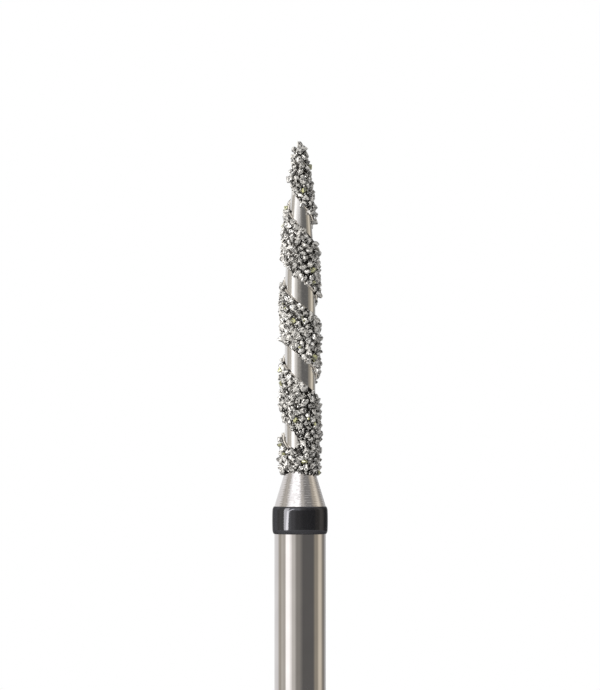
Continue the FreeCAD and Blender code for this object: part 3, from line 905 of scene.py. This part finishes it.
class BUR_OT_nickel(bpy.types.Operator):
    """Plate the nickel: a pebbled coat with a rounded edge along the bare spiral channel"""

    bl_idname = "bur.nickel"
    bl_label = "Plated nickel"

    def execute(self, context):
        sizes = context.scene.bur_nickel
        channel = Channel(sizes)
        form = self.sheet(sizes, channel)
        self.trim(form, channel)
        form.normal_update()
        mesh = bpy.data.meshes.new("nickel_coat")
        form.to_mesh(mesh)
        form.free()
        # Marks the lip, where the material paints a pale colour and a painted highlight
        lips = [self.on_lip(sizes, channel, vertex.co) for vertex in mesh.vertices]
        mesh.attributes.new("lip", "FLOAT", "POINT").data.foreach_set("value", lips)
        mesh.shade_smooth()
        mesh.materials.append(plated_nickel(sizes))
        piece = new_object("nickel_coat", mesh)
        shell = piece.modifiers.new("thickness", "SOLIDIFY")
        shell.thickness = COAT_SHELL
        shell.offset = -1
        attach(piece, BODY)
        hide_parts("nickel_plating")
        return {"FINISHED"}

    def sheet(self, sizes, channel):
        """The coat before its channel is opened. Its rows climb with the channel, one pitch in each turn."""
        rows = row_heights(sizes)
        tree = grain_tree(grain_islands("clear_grains") + grain_islands("yellow_grains"))
        form = bmesh.new()
        grid = []
        for row in range(-TURNS_BELOW * len(rows), TURNS_ABOVE * len(rows)):
            turn, step = divmod(row, len(rows))
            line = []
            for column in range(COAT_COLUMNS):
                lift = sizes.pitch * (turn + column / COAT_COLUMNS) + rows[step]
                height = min(max(channel.start_z + lift, NICKEL_LOW.z), NICKEL_HIGH.z)
                angle = sizes.start_angle - 2 * math.pi * column / COAT_COLUMNS
                line.append(form.verts.new(self.coat_point(sizes, channel, tree, angle, height)))
            grid.append(line)
        for index, (low, high) in enumerate(zip(grid, grid[1:])):
            for corners in zip(high, high[1:], low[1:], low):
                form.faces.new(corners)
            # The last column joins the first one of the turn above
            above = index + len(rows)
            if above + 1 < len(grid):
                form.faces.new((high[-1], grid[above + 1][0], grid[above][0], low[-1]))
        return form

    def coat_point(self, sizes, channel, tree, angle, height):
        """A point of the coat's face: full inside, drawn down to the core at every edge."""
        radius = core_radius_at(height, PLATING)
        edge = min(channel.nearest_edge(angle, height, radius)[0], height - NICKEL_LOW.z - hem(sizes, angle))
        full = min(max(edge / sizes.edge, 0.0), 1.0)
        coat = PLATING * math.sqrt(1 - (1 - full) ** 2)
        place = Vector((radius * math.cos(angle), radius * math.sin(angle), height))
        _, _, apart = tree.find(place)
        creep = sizes.creep * max(0.0, 1 - (apart / CREEP_REACH) ** 2)
        pebble = PEBBLE_HEIGHT * noise.noise(place / PEBBLE_SIZE)
        lift = (coat + (creep + pebble) * full) - EDGE_DIP * (1 - full)
        across = core_radius_at(height, lift) if height < NICKEL_HIGH.z - CLOSE else 0.0
        return Vector((across * math.cos(angle), across * math.sin(angle), height))

    def trim(self, form, channel):
        """Opens the channel and drops what was pressed flat at the coat's two ends."""
        bare = []
        for face in form.faces:
            middle = face.calc_center_median()
            angle = math.atan2(middle.y, middle.x)
            distance, _ = channel.nearest_edge(angle, middle.z, core_radius_at(middle.z, PLATING))
            if distance < 0 or middle.z < NICKEL_LOW.z + hem(channel.sizes, angle):
                bare.append(face)
        bmesh.ops.delete(form, geom=bare, context="FACES")
        bmesh.ops.remove_doubles(form, verts=form.verts[:], dist=JOIN)
        bmesh.ops.dissolve_degenerate(form, edges=form.edges[:], dist=DROP)
        loose = [vertex for vertex in form.verts if not vertex.link_faces]
        bmesh.ops.delete(form, geom=loose, context="VERTS")

    def on_lip(self, sizes, channel, place):
        """1 on the lip along the channel, where the material paints a pale colour and a painted highlight,
        broken here and there, and 0 off it.
        """
        distance, side = channel.edge_beside(place)
        whole = noise.noise(place / LIP_PATCH) > LIP_BREAK
        return float(side != 0 and LIP_GAP * sizes.lip < distance < sizes.lip and whole)


# What the bright metal mirrors, as cards round the bur: name, from and to in degrees from the
# camera towards the right, brightness and warmth. Light falls off softly from one to the next.
LEVEL_CARDS = [
    ("backdrop on the left", -180, -120, 1.0, 0.0),
    ("gap in the backdrop", -104, -99, 0.52, 0.2),
    ("warm wall", -89, -86, 0.74, 0.13),
    ("wall behind the strip light", -81, -70, 0.66, 0.13),
    ("strip light", -65, -48, 1.75, 0.02),
    ("glow beside the strip light", -46, -42, 1.4, 0.04),
    ("pale wall", -34, -25, 0.8, 0.08),
    ("edge of the dark flag", -15, -3, 0.36, 0.12),
    ("dark flag", 14, 62, 0.16, 0.05),
    ("wall beyond the flag", 72, 84, 0.41, 0.25),
    ("warm reflector", 95, 106, 0.90, 0.24),
    ("gap on the right", 124, 130, 0.28, 0.16),
    ("backdrop on the right", 152, 162, 0.6, 0.0),
    ("dark corner behind", 172, 180, 0.3, 0.0),
]
RAISED_CARDS = [
    ("backdrop on the left", -180, -110, 1.15, 0.02),
    ("gap in the backdrop", -96, -93, 0.56, 0.12),
    ("warm wall", -84, -81, 0.76, 0.12),
    ("wall behind the softbox", -77, -69, 0.64, 0.12),
    ("left end of the softbox", -54, -50, 1.5, -0.03),
    ("softbox", -44, -5, 2.0, -0.03),
    ("edge of the dark ceiling", 8, 15, 0.72, 0.1),
    ("dark ceiling", 28, 62, 0.33, 0.04),
    ("wall beyond the ceiling", 72, 84, 0.6, 0.22),
    ("warm reflector", 92, 104, 1.05, 0.2),
    ("gap on the right", 119, 127, 0.5, 0.1),
    ("backdrop on the right", 150, 180, 1.1, 0.0),
]

# Heights of a mirrored direction between which the cards change to the next ones, and what lies beyond
RAISED_SPAN = (0.14, 0.34)
CEILING_SPAN = (0.6, 0.85)
FLOOR_SPAN = (-0.08, -0.25)
CEILING_TINT = (0.95, 0.95, 0.95)
FLOOR_TINT = (0.75, 0.75, 0.74)

# How much of a card's warmth its green takes, against its blue, and the colour of the lamps
GREEN_WARMTH = 0.35
LAMP_TINT = (1.0, 0.98, 0.95)


def card_ramp(tree, azimuth, cards):
    """The cards' light by azimuth: a colour ramp with two stops for each card."""
    node = add_node(tree, "ShaderNodeValToRGB", {"Fac": azimuth})
    stops = []
    for _, start, end, brightness, warmth in cards:
        tint = (brightness, brightness * (1 - warmth * GREEN_WARMTH), brightness * (1 - warmth), 1)
        stops += [(start / 360 + 0.5, tint), (end / 360 + 0.5, tint)]
    elements = node.color_ramp.elements
    while len(elements) < len(stops):
        elements.new(0.5)
    for element, (position, _) in zip(elements, stops):
        element.position = position
    for element, (_, tint) in zip(elements, stops):
        element.color = tint
    return node.outputs["Color"]


def studio_world(sizes):
    """White to the camera, plain light on the bur, and the cards in its reflections."""
    world = bpy.data.worlds.new("studio")
    world.use_nodes = True
    tree = world.node_tree
    direction = add_node(tree, "ShaderNodeTexCoord").outputs["Generated"]
    x, y, z = add_node(tree, "ShaderNodeSeparateXYZ", {"Vector": direction}).outputs
    angle = math_node(tree, "ARCTAN2", x, math_node(tree, "MULTIPLY", y, -1.0))
    azimuth = math_node(tree, "MULTIPLY_ADD", angle, 1 / (2 * math.pi), 0.5)
    level = card_ramp(tree, azimuth, LEVEL_CARDS)
    raised = card_ramp(tree, azimuth, RAISED_CARDS)
    cards = mix_colour(tree, spread(tree, z, *RAISED_SPAN), level, raised)
    cards = mix_colour(tree, spread(tree, z, *CEILING_SPAN), cards, CEILING_TINT)
    cards = mix_colour(tree, spread(tree, z, *FLOOR_SPAN), cards, FLOOR_TINT)
    path = add_node(tree, "ShaderNodeLightPath").outputs
    mirrored = math_node(tree, "MAXIMUM", path["Is Glossy Ray"], path["Is Transmission Ray"])
    seen = mix_colour(tree, mirrored, (sizes.ambient,) * 3, cards)
    seen = mix_colour(tree, path["Is Camera Ray"], seen, (1, 1, 1))
    set_inputs(tree.nodes["Background"], {"Color": seen, "Strength": 1.0})
    bpy.context.scene.world = world


def add_lamp(name, sizes, azimuth, elevation, width, height, brightness, lean):
    """A rectangular lamp that faces the bur's head. Its power follows from its brightness and its area.

    Its width and height are shares of its distance, and its angles are in degrees."""
    lamp = bpy.data.lights.new(name, "AREA")
    lamp.shape = "RECTANGLE"
    lamp.size = sizes.lamp_distance * width
    lamp.size_y = sizes.lamp_distance * height
    lamp.energy = math.pi * lamp.size * lamp.size_y * brightness
    lamp.color = LAMP_TINT
    turn, lift = math.radians(azimuth), math.radians(elevation)
    away = Vector((math.sin(turn) * math.cos(lift), -math.cos(turn) * math.cos(lift), math.sin(lift)))
    stand = new_object(name, lamp)
    stand.location = Vector((0, 0, sizes.aim_height)) + away * sizes.lamp_distance
    facing = away.to_track_quat("Z", "Y") @ Quaternion((0, 0, 1), math.radians(-lean))
    stand.rotation_euler = facing.to_euler()
    stand.visible_camera = False
    return stand


def lamp_group(name, pieces, state):
    """A collection of pieces that a lamp lights alone, or leaves out."""
    group = bpy.data.collections.new(name)
    for index, piece in enumerate(pieces):
        group.objects.link(bpy.data.objects[piece])
        group.collection_objects[index].light_linking.link_state = state
    return group


# Where the floor starts to fade and where it is white, as shares of its radius
FADE_SPAN = (0.35, 0.95)


def floor_look(sizes):
    """Pale matt floor that fades into the white surround towards its edge, for the camera."""
    material, tree, shader = new_material("pale_floor")
    set_inputs(shader, {"Base Color": (0.9, 0.9, 0.9), "Roughness": 0.7})
    away = add_node(tree, "ShaderNodeVectorMath", {0: bur_place(tree)}, operation="LENGTH").outputs["Value"]
    fade = spread(tree, away, *(sizes.floor_radius * part for part in FADE_SPAN))
    white = add_node(tree, "ShaderNodeEmission", {"Strength": 1.0}).outputs[0]
    mixed = add_node(tree, "ShaderNodeMixShader", {0: fade, 1: shader.outputs[0], 2: white}).outputs[0]
    set_inputs(tree.nodes["Material Output"], {"Surface": mixed})
    return material


class BUR_OT_studio(bpy.types.Operator):
    """Lay the pale floor and set up the lamps, the surround and the camera"""

    bl_idname = "bur.studio"
    bl_label = "Studio"

    def execute(self, context):
        sizes = context.scene.bur_studio
        mesh = bpy.data.meshes.new("floor")
        points, faces = lathe([(0, 0), (sizes.floor_radius, 0)], FLOOR_SIDES)
        mesh.from_pydata(points, [], faces)
        mesh.materials.append(floor_look(sizes))
        floor = new_object("floor", mesh)
        studio_world(sizes)
        but_metal = lamp_group("all_but_metal", ("turned_blank", "lacquered_ring"), "EXCLUDE")
        ring_only = lamp_group("ring_only", ("lacquered_ring",), "INCLUDE")
        for name, azimuth, elevation, width, height, brightness, lean, lit, mirrored in (
            # Degrees towards the right and up, and shares of the lamps' distance
            ("strip_light", -57, 0, 0.36, 0.5, sizes.strip_light, 0, but_metal, True),
            ("strip_top", -44, 24, 0.5, 0.36, sizes.strip_light, 0, but_metal, True),
            ("ring_strip", -60, 0, 0.38, 1.4, sizes.ring_light, 0, ring_only, True),
            ("ring_strip_side", -44, 8, 0.14, 0.9, sizes.ring_light, 40, ring_only, True),
            ("raised_softbox", -33, 40, 0.6, 0.6, sizes.soft_light, 0, None, False),
            ("right_fill", 100, 5, 0.5, 0.8, sizes.fill_light, 0, but_metal, False),
        ):
            lamp = add_lamp(name, sizes, azimuth, elevation, width, height, brightness, lean)
            lamp.light_linking.receiver_collection = lit
            lamp.visible_glossy = mirrored
        camera = bpy.data.cameras.new("camera")
        camera.sensor_width = 36
        camera.lens = camera.sensor_width * sizes.distance / sizes.view_height
        camera.clip_start = sizes.distance / 10
        camera.clip_end = sizes.distance * 10
        stand = new_object("camera", camera)
        stand.location = (0, -sizes.distance, sizes.aim_height)
        stand.rotation_euler = (math.pi / 2, 0, 0)
        context.scene.camera = stand
        context.scene.view_settings.view_transform = "Standard"
        return {"FINISHED"}


class BUR_PT_panel(bpy.types.Panel):
    """Builds the bur's pieces and shows their sizes and colours"""

    bl_idname = "BUR_PT_panel"
    bl_label = "Dental bur"
    bl_space_type = "VIEW_3D"
    bl_region_type = "UI"
    bl_category = "Dental bur"

    def draw(self, context):
        for operator, group in zip(OPERATORS, GROUPS):
            box = self.layout.box()
            box.operator(operator.bl_idname)
            settings = getattr(context.scene, group)
            for name in settings.__annotations__:
                box.prop(settings, name)


OPERATORS = (BUR_OT_turned_blank, BUR_OT_ring, BUR_OT_nickel, BUR_OT_grit, BUR_OT_studio)


def register():
    for group in GROUPS.values():
        bpy.utils.register_class(group)
    for operator in OPERATORS:
        bpy.utils.register_class(operator)
    bpy.utils.register_class(BUR_PT_panel)
    for name, group in GROUPS.items():
        setattr(bpy.types.Scene, name, PointerProperty(type=group))


def unregister():
    for name in GROUPS:
        delattr(bpy.types.Scene, name)
    bpy.utils.unregister_class(BUR_PT_panel)
    for thing in (*reversed(OPERATORS), *reversed(GROUPS.values())):
        bpy.utils.unregister_class(thing)


def main():
    register()
    bpy.ops.bur.turned_blank()
    bpy.ops.bur.ring()
    bpy.ops.bur.nickel()
    bpy.ops.bur.grit()
    bpy.ops.bur.studio()


if __name__ == "__main__":
    main()
